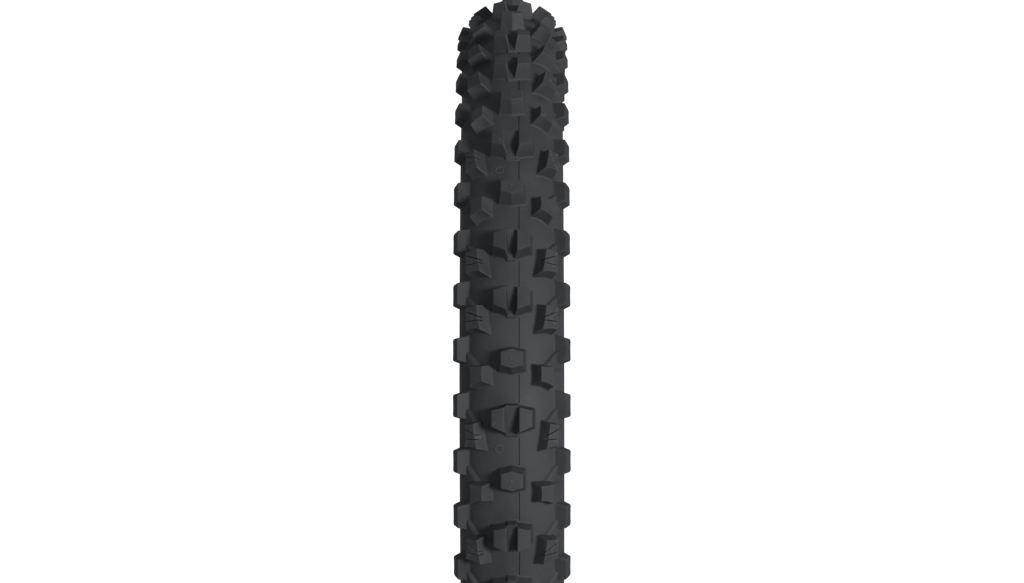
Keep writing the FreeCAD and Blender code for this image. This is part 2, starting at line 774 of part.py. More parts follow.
def shoulder_knobs():
    """Right-hand shoulder knobs with chamfered outer corners, one in every row."""
    half = "Dimensions.shoulder_half_width"
    length = "Dimensions.shoulder_half_length"
    corner = "Dimensions.shoulder_corner"
    face = [
        (f"{half} - {corner}", length), (f"-{half}", length), (f"-{half}", f"-{length}"),
        (f"{half} - {corner}", f"-{length}"), (half, f"-{length} + {corner}"),
        (half, f"{length} - {corner}"),
    ]
    foot = spread_outline(face, "Dimensions.shoulder_spread", "Dimensions.shoulder_end_spread",
                          "Dimensions.shoulder_end_spread")
    label = "shoulder_knobs_right"
    body = new_body(label)
    knob = loft_knob(body, label, face, foot, "Dimensions.shoulder_rise", "Dimensions.shoulder_lateral",
                     "Dimensions.shoulder_radius", tilt="Dimensions.shoulder_tilt")
    doc.recompute()
    repeat_rows(body, [knob], label, every_row=True)
    doc.recompute()
    cut_feet(body, label)
    turn_to_row(body, 0, "Dimensions.shoulder_knob_lead")
    return body


def tie_webs():
    """Low right-hand webs from each shoulder knob to the knob beside and below it."""
    length = "Dimensions.web_half_length"
    face = [
        ("Dimensions.web_outer", length), ("-Dimensions.web_inner_top", length),
        ("-Dimensions.web_inner_bottom", f"-{length}"),
        ("Dimensions.web_outer - Dimensions.web_outer_taper", f"-{length}"),
    ]
    foot = spread_outline(face, "Dimensions.web_spread", "Dimensions.web_end_spread",
                          "Dimensions.web_end_spread")
    label = "web_blanks_right"
    body = new_body(label)
    web = loft_knob(body, label, face, foot, "Dimensions.web_rise", "Dimensions.web_lateral",
                    "Dimensions.web_radius", tilt="Dimensions.web_tilt")
    doc.recompute()
    repeat_rows(body, [web], label, every_row=True)
    doc.recompute()
    cut_feet(body, label)
    turn_to_row(body, 0)
    return body


def cut_by(label, blank, tools):
    """What is left of the blank beside the knobs that it runs up against."""
    group = doc.addObject("Part::Compound", f"{label}_neighbours")
    group.Links = tools
    result = doc.addObject("Part::Cut", label)
    result.Label = label
    result.Base = blank
    result.Tool = group
    return result


def round_marks(label, circles, lateral, radius, height, tilt="0", ramp="0"):
    """Small raised disc or ring that stands on the tread or on a knob's face."""
    body = new_body(label)
    sketch = body.newObject("Sketcher::SketchObject", f"{label}_circles")
    sketch.AttachmentSupport = [(origin_plane(body, "YZ_Plane"), "")]
    sketch.MapMode = "FlatFace"
    for size in circles:
        circle = sketch.addGeometry(Part.Circle(Vector(0, 0, 0), Vector(0, 0, 1), number(size)), False)
        sketch.addConstraint(Sketcher.Constraint("Coincident", circle, 3, -1, 1))
        index = sketch.addConstraint(Sketcher.Constraint("Radius", circle, number(size)))
        sketch.setExpression(f"Constraints[{index}]", size)
    place_on_tread(sketch, lateral, radius, tilt, ramp)
    pad = body.newObject("PartDesign::Pad", f"{label}_pad")
    pad.Profile = (sketch, [""])
    pad.Length = number(height)
    pad.setExpression("Length", height)
    doc.recompute()
    return body, pad


def vent_nubs():
    """Stubs that the mould's vents leave in the middle of each hexagon's face."""
    body, nub = round_marks("vent_nubs", ["Dimensions.vent_nub_radius"], "0", "Dimensions.tread_radius",
                            "Dimensions.vent_nub_height", ramp="Dimensions.knob_ramp")
    repeat_rows(body, [nub], "vent_nubs", second_row=2)
    doc.recompute()
    turn_to_row(body, 1)
    return body


def mould_rings():
    """Plain raised rings below the wide split knobs, on the undertread's left side."""
    lean = "asin(Dimensions.mould_ring_lateral / Dimensions.crown_arc)"
    sunk = "Dimensions.mould_ring_height"
    inner = "(Dimensions.mould_ring_radius - Dimensions.mould_ring_width)"
    out, across = crown_point(lean, sunk)
    body, ring = round_marks("mould_rings", ["Dimensions.mould_ring_radius", inner], f"-({across})", out,
                             f"2 * {sunk}", tilt=f"-{lean} / 1deg")
    repeat_rows(body, [ring], "mould_rings")
    doc.recompute()
    cut_feet(body, "mould_rings")
    turn_to_row(body, 0, "-Dimensions.mould_ring_lag")
    return body


def check_and_export(parts):
    doc.recompute()
    for item in doc.Objects:
        if "Invalid" in item.State or "Error" in item.State:
            raise RuntimeError(f"{item.Label}: {item.State}")
    os.makedirs("parts", exist_ok=True)
    for part in parts:
        if part.Shape.isNull() or not part.Shape.isValid():
            raise RuntimeError(f"{part.Label}: bad shape")
        part.Shape.exportStep(os.path.join("parts", f"{part.Label}.step"))
        print(part.Label, len(part.Shape.Solids), "solids", round(part.Shape.Volume / 1000, 2), "cm3")


def split_row(kind, row, second_row):
    """Right halves, left halves and groove floors of one kind of split knob."""
    right = split_knobs(kind, row, second_row)
    left = mirror_part(right, f"{kind}_split_knobs_left")
    blanks = groove_floor_blanks(kind, row, second_row)
    return [right, left, cut_by(f"{kind}_groove_floors", blanks, [right, left])]


def build():
    parts = [
        tread_base(),
        breaker_ply(),
        carcass_ply("carcass_ply_outer", PLY_DEPTH, PLY_DEPTH, f"({STEP} + 2 * {PLY})"),
        carcass_ply("carcass_ply_inner", INNER_PLY_DEPTH, f"({PLY_DEPTH} - {PLY})", f"({STEP} + {PLY})"),
        inner_liner(),
        hexagon_knobs(),
    ]
    parts += split_row("wide", 0, None)
    parts += split_row("narrow", 3, 1)
    plain = plain_knobs()
    narrow_siped = siped_knobs("narrow", 3, 1)
    wide_siped = siped_knobs("wide", 0, None)
    shoulder = shoulder_knobs()
    webs = cut_by("tie_webs_right", tie_webs(), [plain, narrow_siped, wide_siped, shoulder])
    right_parts = [
        plain, narrow_siped, wide_siped, shoulder, webs,
        sidewall(), chafer(), apex_filler(), bead_wrap(), bead_core(),
        sidewall_rib("rim_line_rib_right", "Dimensions.rim_rib_angle"),
        sidewall_rib("scuff_rib_right", "Dimensions.scuff_rib_angle"),
    ]
    for part in right_parts:
        parts.append(part)
        parts.append(mirror_part(part, part.Label.replace("_right", "_left")))
    parts.append(vent_nubs())
    parts.append(mould_rings())
    check_and_export(parts)


build()
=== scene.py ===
import math
import bmesh
import bpy
from mathutils import Matrix, Vector


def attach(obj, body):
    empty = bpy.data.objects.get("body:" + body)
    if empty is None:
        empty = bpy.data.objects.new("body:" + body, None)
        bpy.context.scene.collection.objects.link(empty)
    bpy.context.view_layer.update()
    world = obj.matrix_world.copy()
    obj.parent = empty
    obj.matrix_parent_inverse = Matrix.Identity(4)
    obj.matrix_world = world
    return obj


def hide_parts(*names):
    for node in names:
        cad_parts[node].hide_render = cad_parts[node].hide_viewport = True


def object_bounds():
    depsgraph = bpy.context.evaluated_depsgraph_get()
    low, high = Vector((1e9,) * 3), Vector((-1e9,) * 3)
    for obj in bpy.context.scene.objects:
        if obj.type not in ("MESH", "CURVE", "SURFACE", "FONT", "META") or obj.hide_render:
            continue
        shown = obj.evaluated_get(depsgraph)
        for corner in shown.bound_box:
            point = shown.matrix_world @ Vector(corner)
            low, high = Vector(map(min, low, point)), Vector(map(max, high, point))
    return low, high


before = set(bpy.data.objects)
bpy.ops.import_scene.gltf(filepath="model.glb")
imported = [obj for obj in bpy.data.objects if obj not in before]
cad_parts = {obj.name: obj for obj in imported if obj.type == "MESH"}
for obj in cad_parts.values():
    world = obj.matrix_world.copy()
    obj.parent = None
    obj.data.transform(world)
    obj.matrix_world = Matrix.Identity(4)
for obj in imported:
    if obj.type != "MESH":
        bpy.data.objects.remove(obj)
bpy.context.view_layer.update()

# Front tyre of an off-road motorcycle. The visible rubber is rebuilt here with moulded
# edges, root fillets, curved knob walls and sipes, in the places and sizes of the CAD
# nodes that it stands for; the other nodes only get their materials. Sizes are
# millimetres in the wheel's frame: "across" from the middle of the tyre towards +Y,
# "out" from the spin axis, "along" the tread towards the next row of knobs.

MM = 0.001

# ---- the tread's rows
ROW_PITCH = 8
ROWS = 45
PATTERN_ROWS = 5
FIRST_ROW = 3.3
MIDDLE_ROWS = {"wide": (0,), "hexagon": (1, 4), "narrow": (2, 3)}
PLAIN_LAG = 1.95
SIPED_LAG = 2.3
SHOULDER_LEAD = 1.75

# ---- the casing's section: three tangent arcs and the concave heel at the rim
CROWN_RADIUS = 333.5
CROWN_ARC = 46
CROWN_END = math.radians(48)
SHOULDER_ARC = 29.5
SIDEWALL_ARC = 17.2
RIM_HALF_WIDTH = 20.3
TREAD_EDGE = math.radians(84)
SIDEWALL_STEP = 1.0
PLY_DEPTH = 4.2
RING_SEGMENTS = 540
SIDEWALL_SEGMENTS = 360
INNER_STEPS = 30
CROWN_OUT = CROWN_RADIUS - CROWN_ARC
SHOULDER_ACROSS = (CROWN_ARC - SHOULDER_ARC) * math.sin(CROWN_END)
SHOULDER_OUT = CROWN_OUT + (CROWN_ARC - SHOULDER_ARC) * math.cos(CROWN_END)
SIDEWALL_ACROSS = SHOULDER_ACROSS + SHOULDER_ARC - SIDEWALL_ARC
HEEL_ARC = SIDEWALL_ACROSS - RIM_HALF_WIDTH
HEEL_OUT = SHOULDER_OUT - SIDEWALL_ARC - HEEL_ARC
SECTION_ARCS = (
    (CROWN_END, 0.0, CROWN_OUT, CROWN_ARC),
    (math.pi / 2, SHOULDER_ACROSS, SHOULDER_OUT, SHOULDER_ARC),
    (math.pi, SIDEWALL_ACROSS, SHOULDER_OUT, SIDEWALL_ARC),
)

# ---- knobs
TREAD_RADIUS = 346.5
RAMP = math.radians(8)
CROWN = 1 / 110
TOP_EDGE = 0.55
ROOT_FILLET = 1.5
CORNER_STEPS = 3
EDGE_STEPS = 6
FACE_RINGS = (0.35, 0.7, 0.9)
FILLET_RINGS = (0.25, 0.5, 0.75)
KNOB_RINGS = 12
ROOT_SEARCH_STEPS = 24
SUNK = 0.06
MIDDLE_DEPTH = 18
SIDE_DEPTH = 16
SHOULDER_DEPTH = 14
SHARP_KNOB = math.radians(50)


def section_point(angle, height=0.0):
    """(across, out) of the casing's surface where its normal leans by angle, raised by height."""
    side = math.copysign(1, angle)
    lean = abs(angle)
    for end, across, out, arc in SECTION_ARCS:
        if lean <= end + 1e-9:
            break
    reach = arc + height
    return side * (across + reach * math.sin(lean)), out + reach * math.cos(lean)


def height_above(across, out):
    """(distance from the casing's surface, lean of the surface's normal there)."""
    side = math.copysign(1, across)
    for end, centre_across, centre_out, arc in SECTION_ARCS:
        lean = math.atan2(abs(across) - centre_across, out - centre_out)
        if lean <= end:
            break
    return math.hypot(abs(across) - centre_across, out - centre_out) - arc, side * lean


def new_object(name, vertices, faces, material, nodes=(), sharp=None):
    """A piece on the tyre from vertices in metres; it may stand for CAD nodes."""
    mesh = bpy.data.meshes.new(name)
    mesh.from_pydata(vertices, [], faces)
    mesh.validate()
    mesh.polygons.foreach_set("use_smooth", [True] * len(mesh.polygons))
    mesh.materials.append(material)
    piece = bpy.data.objects.new(name, mesh)
    bpy.context.scene.collection.objects.link(piece)
    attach(piece, "root")
    if nodes:
        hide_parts(*nodes)
    if sharp is not None:
        mesh.set_sharp_from_angle(angle=sharp)
        normals = piece.modifiers.new("face_weighted_normals", "WEIGHTED_NORMAL")
        normals.keep_sharp = True
    return piece


# ---- knob outlines

def outline_points(corners, rounding):
    """A closed outline with rounded corners and bowed edges, as ((x, y), (outward x, outward y)).

    corners are (x, y, bow) run anticlockwise; bow is how far the edge to the next corner
    swells outwards at its middle, or pulls in where it is negative.
    """
    count = len(corners)
    arcs = []
    for index, (x, y, _) in enumerate(corners):
        here = Vector((x, y))
        before = Vector(corners[index - 1][:2])
        after = Vector(corners[(index + 1) % count][:2])
        back = (before - here).normalized()
        ahead = (after - here).normalized()
        half = math.acos(max(-1, min(1, back.dot(ahead)))) / 2
        shorter = min((before - here).length, (after - here).length)
        reach = min(rounding / math.tan(half), 0.4 * shorter)
        arcs.append((here + back * reach, here, here + ahead * reach))
    points = []
    for index in range(count):
        start, control, end = arcs[index]
        for step in range(CORNER_STEPS + 1):
            t = step / CORNER_STEPS
            points.append((1 - t) ** 2 * start + 2 * t * (1 - t) * control + t ** 2 * end)
        following = arcs[(index + 1) % count][0]
        run = following - end
        outward = Vector((run.y, -run.x)).normalized()
        bow = corners[index][2]
        for step in range(1, EDGE_STEPS):
            t = step / EDGE_STEPS
            points.append(end + run * t + outward * (bow * 4 * t * (1 - t)))
    result = []
    for index, point in enumerate(points):
        run = points[(index + 1) % len(points)] - points[index - 1]
        outward = Vector((run.y, -run.x)).normalized()
        result.append((point, outward))
    return result


class KnobPlace:
    """Where a knob's face is, as a tilted and ramped plane over the tread."""

    def __init__(self, across, out, tilt=0.0, ramp=0.0, crown=0.0):
        self.middle = Vector((across, 0, out))
        tilt = math.radians(tilt)
        self.sideways = Vector((math.cos(tilt), 0, -math.sin(tilt)))
        self.upwards = Vector((math.sin(tilt), 0, math.cos(tilt)))
        self.along = Vector((0, 1, 0))
        self.ramp = math.tan(ramp)
        self.crown = crown

    def on_face(self, x, y):
        """A point of the crowned and ramped face, x across it and y along the tread."""
        drop = self.ramp * y + self.crown * x * x
        return self.middle + self.sideways * x + self.along * y - self.upwards * drop

    def below(self, x, y, drop):
        """A point at a depth under the flat plane through the face's middle."""
        return self.middle + self.sideways * x + self.along * y - self.upwards * drop

    def outward(self, direction):
        """An outline's outward direction, turned into the wheel's frame."""
        return self.sideways * direction.x + self.along * direction.y


def surface_height(point):
    """height_above for an (across, along, out) point."""
    return height_above(point.x, math.hypot(point.y, point.z))


def settle(point, height):
    """The point moved along the casing's normal to that height."""
    for _ in range(3):
        current, lean = surface_height(point)
        shift = height - current
        point = point + Vector((math.sin(lean), 0, math.cos(lean))) * shift
    return point


def knob_mesh(place, face, foot, drop, rounding=0.7, foot_rounding=1.6):
    """Rings from the face's middle over its rounded edge and down the walls into the tread."""
    centre = sum((Vector(corner[:2]) for corner in face), Vector((0, 0))) / len(face)
    top = outline_points(face, rounding)
    bottom = outline_points(foot, foot_rounding)
    rings = [[] for _ in range(KNOB_RINGS)]
    for (top_point, top_out), (foot_point, foot_out) in zip(top, bottom):
        corner = place.on_face(*top_point)
        low = place.below(foot_point.x, foot_point.y, drop)
        rim = top_point - top_out * TOP_EDGE
        inset = place.on_face(*rim)
        wall = (low - corner).normalized()
        near = 0.0
        far = 1.0
        for _ in range(ROOT_SEARCH_STEPS):
            middle = (near + far) / 2
            if surface_height(corner.lerp(low, middle))[0] > 0:
                near = middle
            else:
                far = middle
        root = corner.lerp(low, near)
        under_edge = corner + wall * TOP_EDGE
        above_root = root - wall * ROOT_FILLET
        flare = settle(root + place.outward(foot_out) * ROOT_FILLET, -SUNK)
        rounded_edge = inset.lerp(corner, 0.6).lerp(corner.lerp(under_edge, 0.4), 0.5)
        sequence = [place.on_face(*centre.lerp(rim, share)) for share in FACE_RINGS]
        sequence += [inset, rounded_edge, under_edge]
        sequence.append(under_edge.lerp(above_root, 0.5))
        sequence.append(above_root)
        for t in FILLET_RINGS:
            sequence.append(above_root * (1 - t) ** 2 + root * (2 * t * (1 - t)) + flare * t ** 2)
        sequence.append(flare)
        for ring, point in zip(rings, sequence):
            ring.append(point)
    count = len(top)
    vertices = [point for ring in rings for point in ring] + [place.on_face(*centre)]
    faces = [(len(vertices) - 1, index, (index + 1) % count) for index in range(count)]
    for ring in range(len(rings) - 1):
        for index in range(count):
            following = (index + 1) % count
            faces.append((
                ring * count + index, (ring + 1) * count + index,
                (ring + 1) * count + following, ring * count + following,
            ))
    return vertices, faces


def around_wheel(knob, rows, lead=0.0, side=1):
    """Copies of a knob on the wheel's rows, in metres; side -1 mirrors it."""
    points, polygons = knob
    vertices = []
    faces = []
    for row in rows:
        angle = math.radians(FIRST_ROW + ROW_PITCH * row + lead)
        radial = Vector((math.cos(angle), 0, math.sin(angle)))
        along = Vector((-math.sin(angle), 0, math.cos(angle)))
        base = len(vertices)
        for point in points:
            vertices.append((radial * point.z + along * point.y + Vector((0, side * point.x, 0))) * MM)
        for polygon in polygons:
            order = polygon if side > 0 else tuple(reversed(polygon))
            faces.append(tuple(base + index for index in order))
    return vertices, faces


def rows_of(kind):
    """The rows, of all 45, that have this kind of middle knob."""
    return [row for row in range(ROWS) if row % PATTERN_ROWS in MIDDLE_ROWS[kind]]


def spread(corners, sideways, up, down):
    """A foot outline: the face's corners moved outwards by the draft of the walls."""
    foot = []
    for x, y, bow in corners:
        shift = 0 if abs(x) < 1e-6 else math.copysign(sideways, x)
        foot.append((x + shift, y + (up if y > 0 else -down), bow))
    return foot


# ---- materials

CLOUD_SCALE = 38.0
SPECK_SCALE = 1500.0
SKIN_SCALE = 420.0
# how much paler convex edges get: a painted highlight along the edges, together with edge wear
EDGE_WEAR_AND_HIGHLIGHT_LIFT = 2.1
WEAVE_DEPTH = 0.00025


def node(tree, kind, **settings):
    """A new shader node; each setting is one of its sockets, or else one of its properties."""
    item = tree.nodes.new(kind)
    for name, value in settings.items():
        if name in item.inputs:
            item.inputs[name].default_value = value
        else:
            setattr(item, name, value)
    return item


def remapped(tree, value, low, high, to_low, to_high):
    """The value with its range from low to high stretched over to_low to to_high."""
    item = node(tree, "ShaderNodeMapRange", **{
        "From Min": low, "From Max": high, "To Min": to_low, "To Max": to_high,
    })
    tree.links.new(value, item.inputs["Value"])
    return item.outputs["Result"]


def rubber(name, dark, light, rough=(0.6, 0.8), grain=0.00012):
    """Moulded rubber: cloudy tone, fine grain, pale convex edges painted as a highlight and as edge wear,
    and uneven sheen.
    """
    material = bpy.data.materials.new(name)
    material.use_nodes = True
    tree = material.node_tree
    shader = tree.nodes["Principled BSDF"]
    link = tree.links.new
    place = node(tree, "ShaderNodeTexCoord")
    clouds = node(tree, "ShaderNodeTexNoise", Scale=CLOUD_SCALE, Detail=5.0, Roughness=0.6)
    link(place.outputs["Object"], clouds.inputs["Vector"])
    tone = node(tree, "ShaderNodeValToRGB")
    tone.color_ramp.elements[0].position = 0.32
    tone.color_ramp.elements[0].color = dark + (1,)
    tone.color_ramp.elements[1].position = 0.72
    tone.color_ramp.elements[1].color = light + (1,)
    link(clouds.outputs["Fac"], tone.inputs["Fac"])
    speck = node(tree, "ShaderNodeTexNoise", Scale=SPECK_SCALE, Detail=3.0, Roughness=0.7)
    link(place.outputs["Object"], speck.inputs["Vector"])
    fleck = remapped(tree, speck.outputs["Fac"], 0.35, 0.7, 0.86, 1.16)
    shaded = node(tree, "ShaderNodeMix", data_type="RGBA", blend_type="MULTIPLY")
    shaded.inputs["Factor"].default_value = 1.0
    link(tone.outputs["Color"], shaded.inputs["A"])
    link(fleck, shaded.inputs["B"])
    # Convex edges found by pointiness are lightened: a painted highlight along the edges, together with
    # edge wear.
    geometry = node(tree, "ShaderNodeNewGeometry")
    edges = remapped(tree, geometry.outputs["Pointiness"], 0.52, 0.62, 0.0, 0.55)
    edge_wear_and_highlight = node(tree, "ShaderNodeMix", data_type="RGBA", blend_type="MIX")
    edge_wear_and_highlight.inputs["B"].default_value = tuple(min(1, part * EDGE_WEAR_AND_HIGHLIGHT_LIFT) for part in light) + (1,)
    link(edges, edge_wear_and_highlight.inputs["Factor"])
    link(shaded.outputs["Result"], edge_wear_and_highlight.inputs["A"])
    link(edge_wear_and_highlight.outputs["Result"], shader.inputs["Base Color"])
    sheen = remapped(tree, clouds.outputs["Fac"], 0.3, 0.7, *rough)
    link(sheen, shader.inputs["Roughness"])
    skin = node(tree, "ShaderNodeTexNoise", Scale=SKIN_SCALE, Detail=6.0, Roughness=0.65)
    link(place.outputs["Object"], skin.inputs["Vector"])
    bump = node(tree, "ShaderNodeBump", Strength=0.55, Distance=grain)
    link(skin.outputs["Fac"], bump.inputs["Height"])
    link(bump.outputs["Normal"], shader.inputs["Normal"])
    shader.inputs["Specular IOR Level"].default_value = 0.42
    return material


def woven(name, dark, light, threads):
    """Rubbered cord or woven fabric: crossing ribs in the bump."""
    material = rubber(name, dark, light, grain=0.0001)
    tree = material.node_tree
    shader = tree.nodes["Principled BSDF"]
    place = node(tree, "ShaderNodeTexCoord")
    link = tree.links.new
    height = None
    for axis in ("X", "Y", "Z"):
        wave = node(tree, "ShaderNodeTexWave", Scale=threads, Distortion=0.4, bands_direction=axis)
        link(place.outputs["Object"], wave.inputs["Vector"])
        if height is None:
            height = wave.outputs["Fac"]
        else:
            total = node(tree, "ShaderNodeMath", operation="MAXIMUM")
            link(height, total.inputs[0])
            link(wave.outputs["Fac"], total.inputs[1])
            height = total.outputs["Value"]
    weave = node(tree, "ShaderNodeBump", Strength=0.5, Distance=WEAVE_DEPTH)
    link(height, weave.inputs["Height"])
    link(shader.inputs["Normal"].links[0].from_socket, weave.inputs["Normal"])
    link(weave.outputs["Normal"], shader.inputs["Normal"])
    return material


TREAD = rubber("tread_rubber_skin", (0.039, 0.040, 0.044), (0.058, 0.059, 0.065))
KNOB = rubber("knob_rubber", (0.0355, 0.0365, 0.039), (0.055, 0.056, 0.0595))
SIDEWALL = rubber("sidewall_rubber_skin", (0.030, 0.031, 0.034), (0.043, 0.044, 0.048), rough=(0.42, 0.6))
LINER = rubber("liner_rubber_skin", (0.022, 0.022, 0.024), (0.036, 0.036, 0.038), rough=(0.35, 0.5))
CHAFER = woven("chafer_fabric_skin", (0.024, 0.024, 0.026), (0.04, 0.04, 0.042), 260)
PLY = woven("ply_fabric_skin", (0.12, 0.09, 0.06), (0.2, 0.16, 0.11), 420)


# ---- pieces

def turned(across, out, angle):
    """The vertex, in metres, of a section point turned by an angle around the spin axis."""
    return out * math.cos(angle) * MM, across * MM, out * math.sin(angle) * MM


def ring(name, outline, material, slot_name, nodes, segments=RING_SEGMENTS, sharp=math.radians(32)):
    """A closed (across, out) outline turned around the spin axis."""
    vertices = []
    faces = []
    count = len(outline)
    for segment in range(segments):
        angle = 2 * math.pi * segment / segments
        for across, out in outline:
            vertices.append(turned(across, out, angle))
    for segment in range(segments):
        following = (segment + 1) % segments
        for index in range(count):
            after = (index + 1) % count
            faces.append((
                segment * count + index, following * count + index,
                following * count + after, segment * count + after,
            ))
    return new_object(name, vertices, faces, material, nodes, sharp)


def sweep(first, last, steps, height):
    """Section points between two leans; height is a number or a function of the lean."""
    points = []
    for step in range(steps + 1):
        lean = first + (last - first) * step / steps
        raised = height(lean) if callable(height) else height
        points.append(section_point(lean, raised))
    return points


SEAM_ACROSS = 5.6
SEAM_HALF_WIDTH = 0.55
SEAM_DEPTH = 0.8
SEAM_LIP = 0.1
SEAM_SIDE_STEPS = 46
FAR_SIDE_STEPS = 50


def tread_skin():
    """The tread between the knobs, with the mould's parting line beside the middle."""
    seam = math.asin(SEAM_ACROSS / CROWN_ARC)
    half = SEAM_HALF_WIDTH / CROWN_ARC
    outer = sweep(TREAD_EDGE, seam + 1.6 * half, SEAM_SIDE_STEPS, 0.0)
    outer += [
        section_point(seam + 1.2 * half, SEAM_LIP),
        section_point(seam + half, 0.0),
        section_point(seam + 0.6 * half, -SEAM_DEPTH),
        section_point(seam - 0.6 * half, -SEAM_DEPTH),
        section_point(seam - half, 0.0),
        section_point(seam - 1.4 * half, 0.0),
    ]
    outer += sweep(seam - 2 * half, -TREAD_EDGE, FAR_SIDE_STEPS, 0.0)
    inner = sweep(-TREAD_EDGE, TREAD_EDGE, INNER_STEPS, -PLY_DEPTH + SIDEWALL_STEP)
    ring("tread_skin", outer + inner, TREAD, "tread_rubber", ["tread_base"])


SIDEWALL_SKIN_DEPTH = 2.0
SIDEWALL_STEPS = 190
HEEL_STEPS = 16
INNER_HEEL_STEPS = 12
RIB_LEANS = (112, 150)
RIB_HALF_WIDTH = 2.6
RIB_HEIGHT = 0.9
SERRATIONS = 7
FIRST_SERRATION = 119
SERRATION_PITCH = 2.2
SERRATION_HALF_WIDTH = 0.9
SERRATION_HEIGHT = 0.28


def heel_point(angle, height):
    """(across, out) on the concave heel below the sidewall; angle 90 degrees joins the sidewall."""
    reach = HEEL_ARC - height
    return SIDEWALL_ACROSS - reach * math.cos(angle), HEEL_OUT + reach * math.sin(angle)


def moulded_line(lean, middle, half_width, height):
    """Height of a rounded line that runs round the sidewall where its normal leans by middle degrees."""
    offset = abs(math.degrees(lean) - middle) / half_width
    return 0.0 if offset >= 1 else height * math.cos(offset * math.pi / 2) ** 0.6


def sidewall_height(lean):
    """The sidewall lies a step below the tread's edge and carries ribs and a fine serrated band."""
    height = -SIDEWALL_STEP
    for middle in RIB_LEANS:
        height += moulded_line(lean, middle, RIB_HALF_WIDTH, RIB_HEIGHT)
    for line in range(SERRATIONS):
        middle = FIRST_SERRATION + SERRATION_PITCH * line
        height += moulded_line(lean, middle, SERRATION_HALF_WIDTH, SERRATION_HEIGHT)
    return height


def sidewalls():
    """Both sidewalls with their ribs, the serrated band and the smooth heel down to the chafer."""
    outer = sweep(TREAD_EDGE, math.pi, SIDEWALL_STEPS, sidewall_height)
    for step in range(1, HEEL_STEPS + 1):
        outer.append(heel_point(math.pi / 2 * (1 - step / HEEL_STEPS), -SIDEWALL_STEP))
    inner = []
    for step in range(INNER_HEEL_STEPS + 1):
        inner.append(heel_point(math.pi / 2 * step / INNER_HEEL_STEPS, -SIDEWALL_SKIN_DEPTH))
    inner += sweep(math.pi, TREAD_EDGE, INNER_STEPS, -SIDEWALL_SKIN_DEPTH)
    outline = outer + inner
    for side, sign in (("right", 1), ("left", -1)):
        nodes = [f"sidewall_{side}", f"scuff_rib_{side}", f"rim_line_rib_{side}"]
        placed = [(sign * across, out) for across, out in (outline if sign > 0 else outline[::-1])]
        name = f"sidewall_skin_{side}"
        ring(name, placed, SIDEWALL, "sidewall_rubber", nodes, SIDEWALL_SEGMENTS, math.radians(50))


ARROW = (
    (-13, 0.9), (5, 0.9), (5, 2.6), (12, 0), (5, -2.6), (5, -0.9), (-13, -0.9),
)
ARROW_LEAN = math.radians(141)
ARROW_STARTS = (20, 140, 260)
ARROW_HEIGHT = 0.45
ARROW_TOP_SHARE = 0.82
# (height over the casing, size of the outline), from the arrow's root to its top
ARROW_LAYERS = (
    (-SIDEWALL_STEP - 0.3, 1.0),
    (-SIDEWALL_STEP + ARROW_HEIGHT * 0.75, 1.0),
    (-SIDEWALL_STEP + ARROW_HEIGHT, ARROW_TOP_SHARE),
)


def rotation_arrows():
    """Three plain raised arrows on each sidewall that point the way the tyre rolls."""
    for side, sign in (("right", 1), ("left", -1)):
        vertices = []
        faces = []
        for start in ARROW_STARTS:
            layers = []
            for height, shrink in ARROW_LAYERS:
                layer = []
                for along, up in ARROW:
                    lean = ARROW_LEAN - up * shrink / SIDEWALL_ARC
                    across, out = section_point(lean, height)
                    angle = math.radians(start) - along * (1 - (1 - shrink) * 0.3) / out
                    layer.append(len(vertices))
                    vertices.append(turned(sign * across, out, angle))
                layers.append(layer)
            for low, high in zip(layers, layers[1:]):
                for index in range(len(ARROW)):
                    after = (index + 1) % len(ARROW)
                    faces.append((low[index], low[after], high[after], high[index]))
            # the top is two faces: the shaft, then the head
            top = layers[-1]
            faces.append((top[0], top[1], top[5], top[6]))
            faces.append((top[1], top[2], top[3], top[4], top[5]))
        arrows = new_object(f"rotation_arrows_{side}", vertices, faces, SIDEWALL)
        arrows.data.polygons.foreach_set("use_smooth", [False] * len(arrows.data.polygons))


def build_knobs(name, knob, rows, lead=0.0, sides=("right", "left")):
    """One piece per side with the knob copied to its rows; it stands for the CAD node of that name."""
    for side in sides:
        full = f"{name}_{side}" if side else name
        vertices, faces = around_wheel(knob, rows, lead, -1 if side == "left" else 1)
        new_object(f"moulded_{full}", vertices, faces, KNOB, [full], SHARP_KNOB)


def hexagon_knobs():
    """Hexagons on the tyre's middle, with a corner ahead and one behind."""
    half = 8.5
    side = 5.2
    tip = 7.7
    face = [
        (half, side, 0), (0, tip, 0), (-half, side, 0),
        (-half, -side, 0), (0, -tip, 0), (half, -side, 0),
    ]
    place = KnobPlace(0, TREAD_RADIUS, ramp=RAMP, crown=CROWN / 2)
    knob = knob_mesh(place, face, spread(face, 3.2, 3.1, 5.2), MIDDLE_DEPTH)
    build_knobs("hexagon_knobs", knob, rows_of("hexagon"), sides=("",))


SPLIT_HEIGHT = 9.7
GROOVE_FLOOR = 338.6
GROOVE_RAMP = math.radians(-15)
GROOVE_DEPTH = 10.1
GROOVE_TIP_SHARE = 0.8


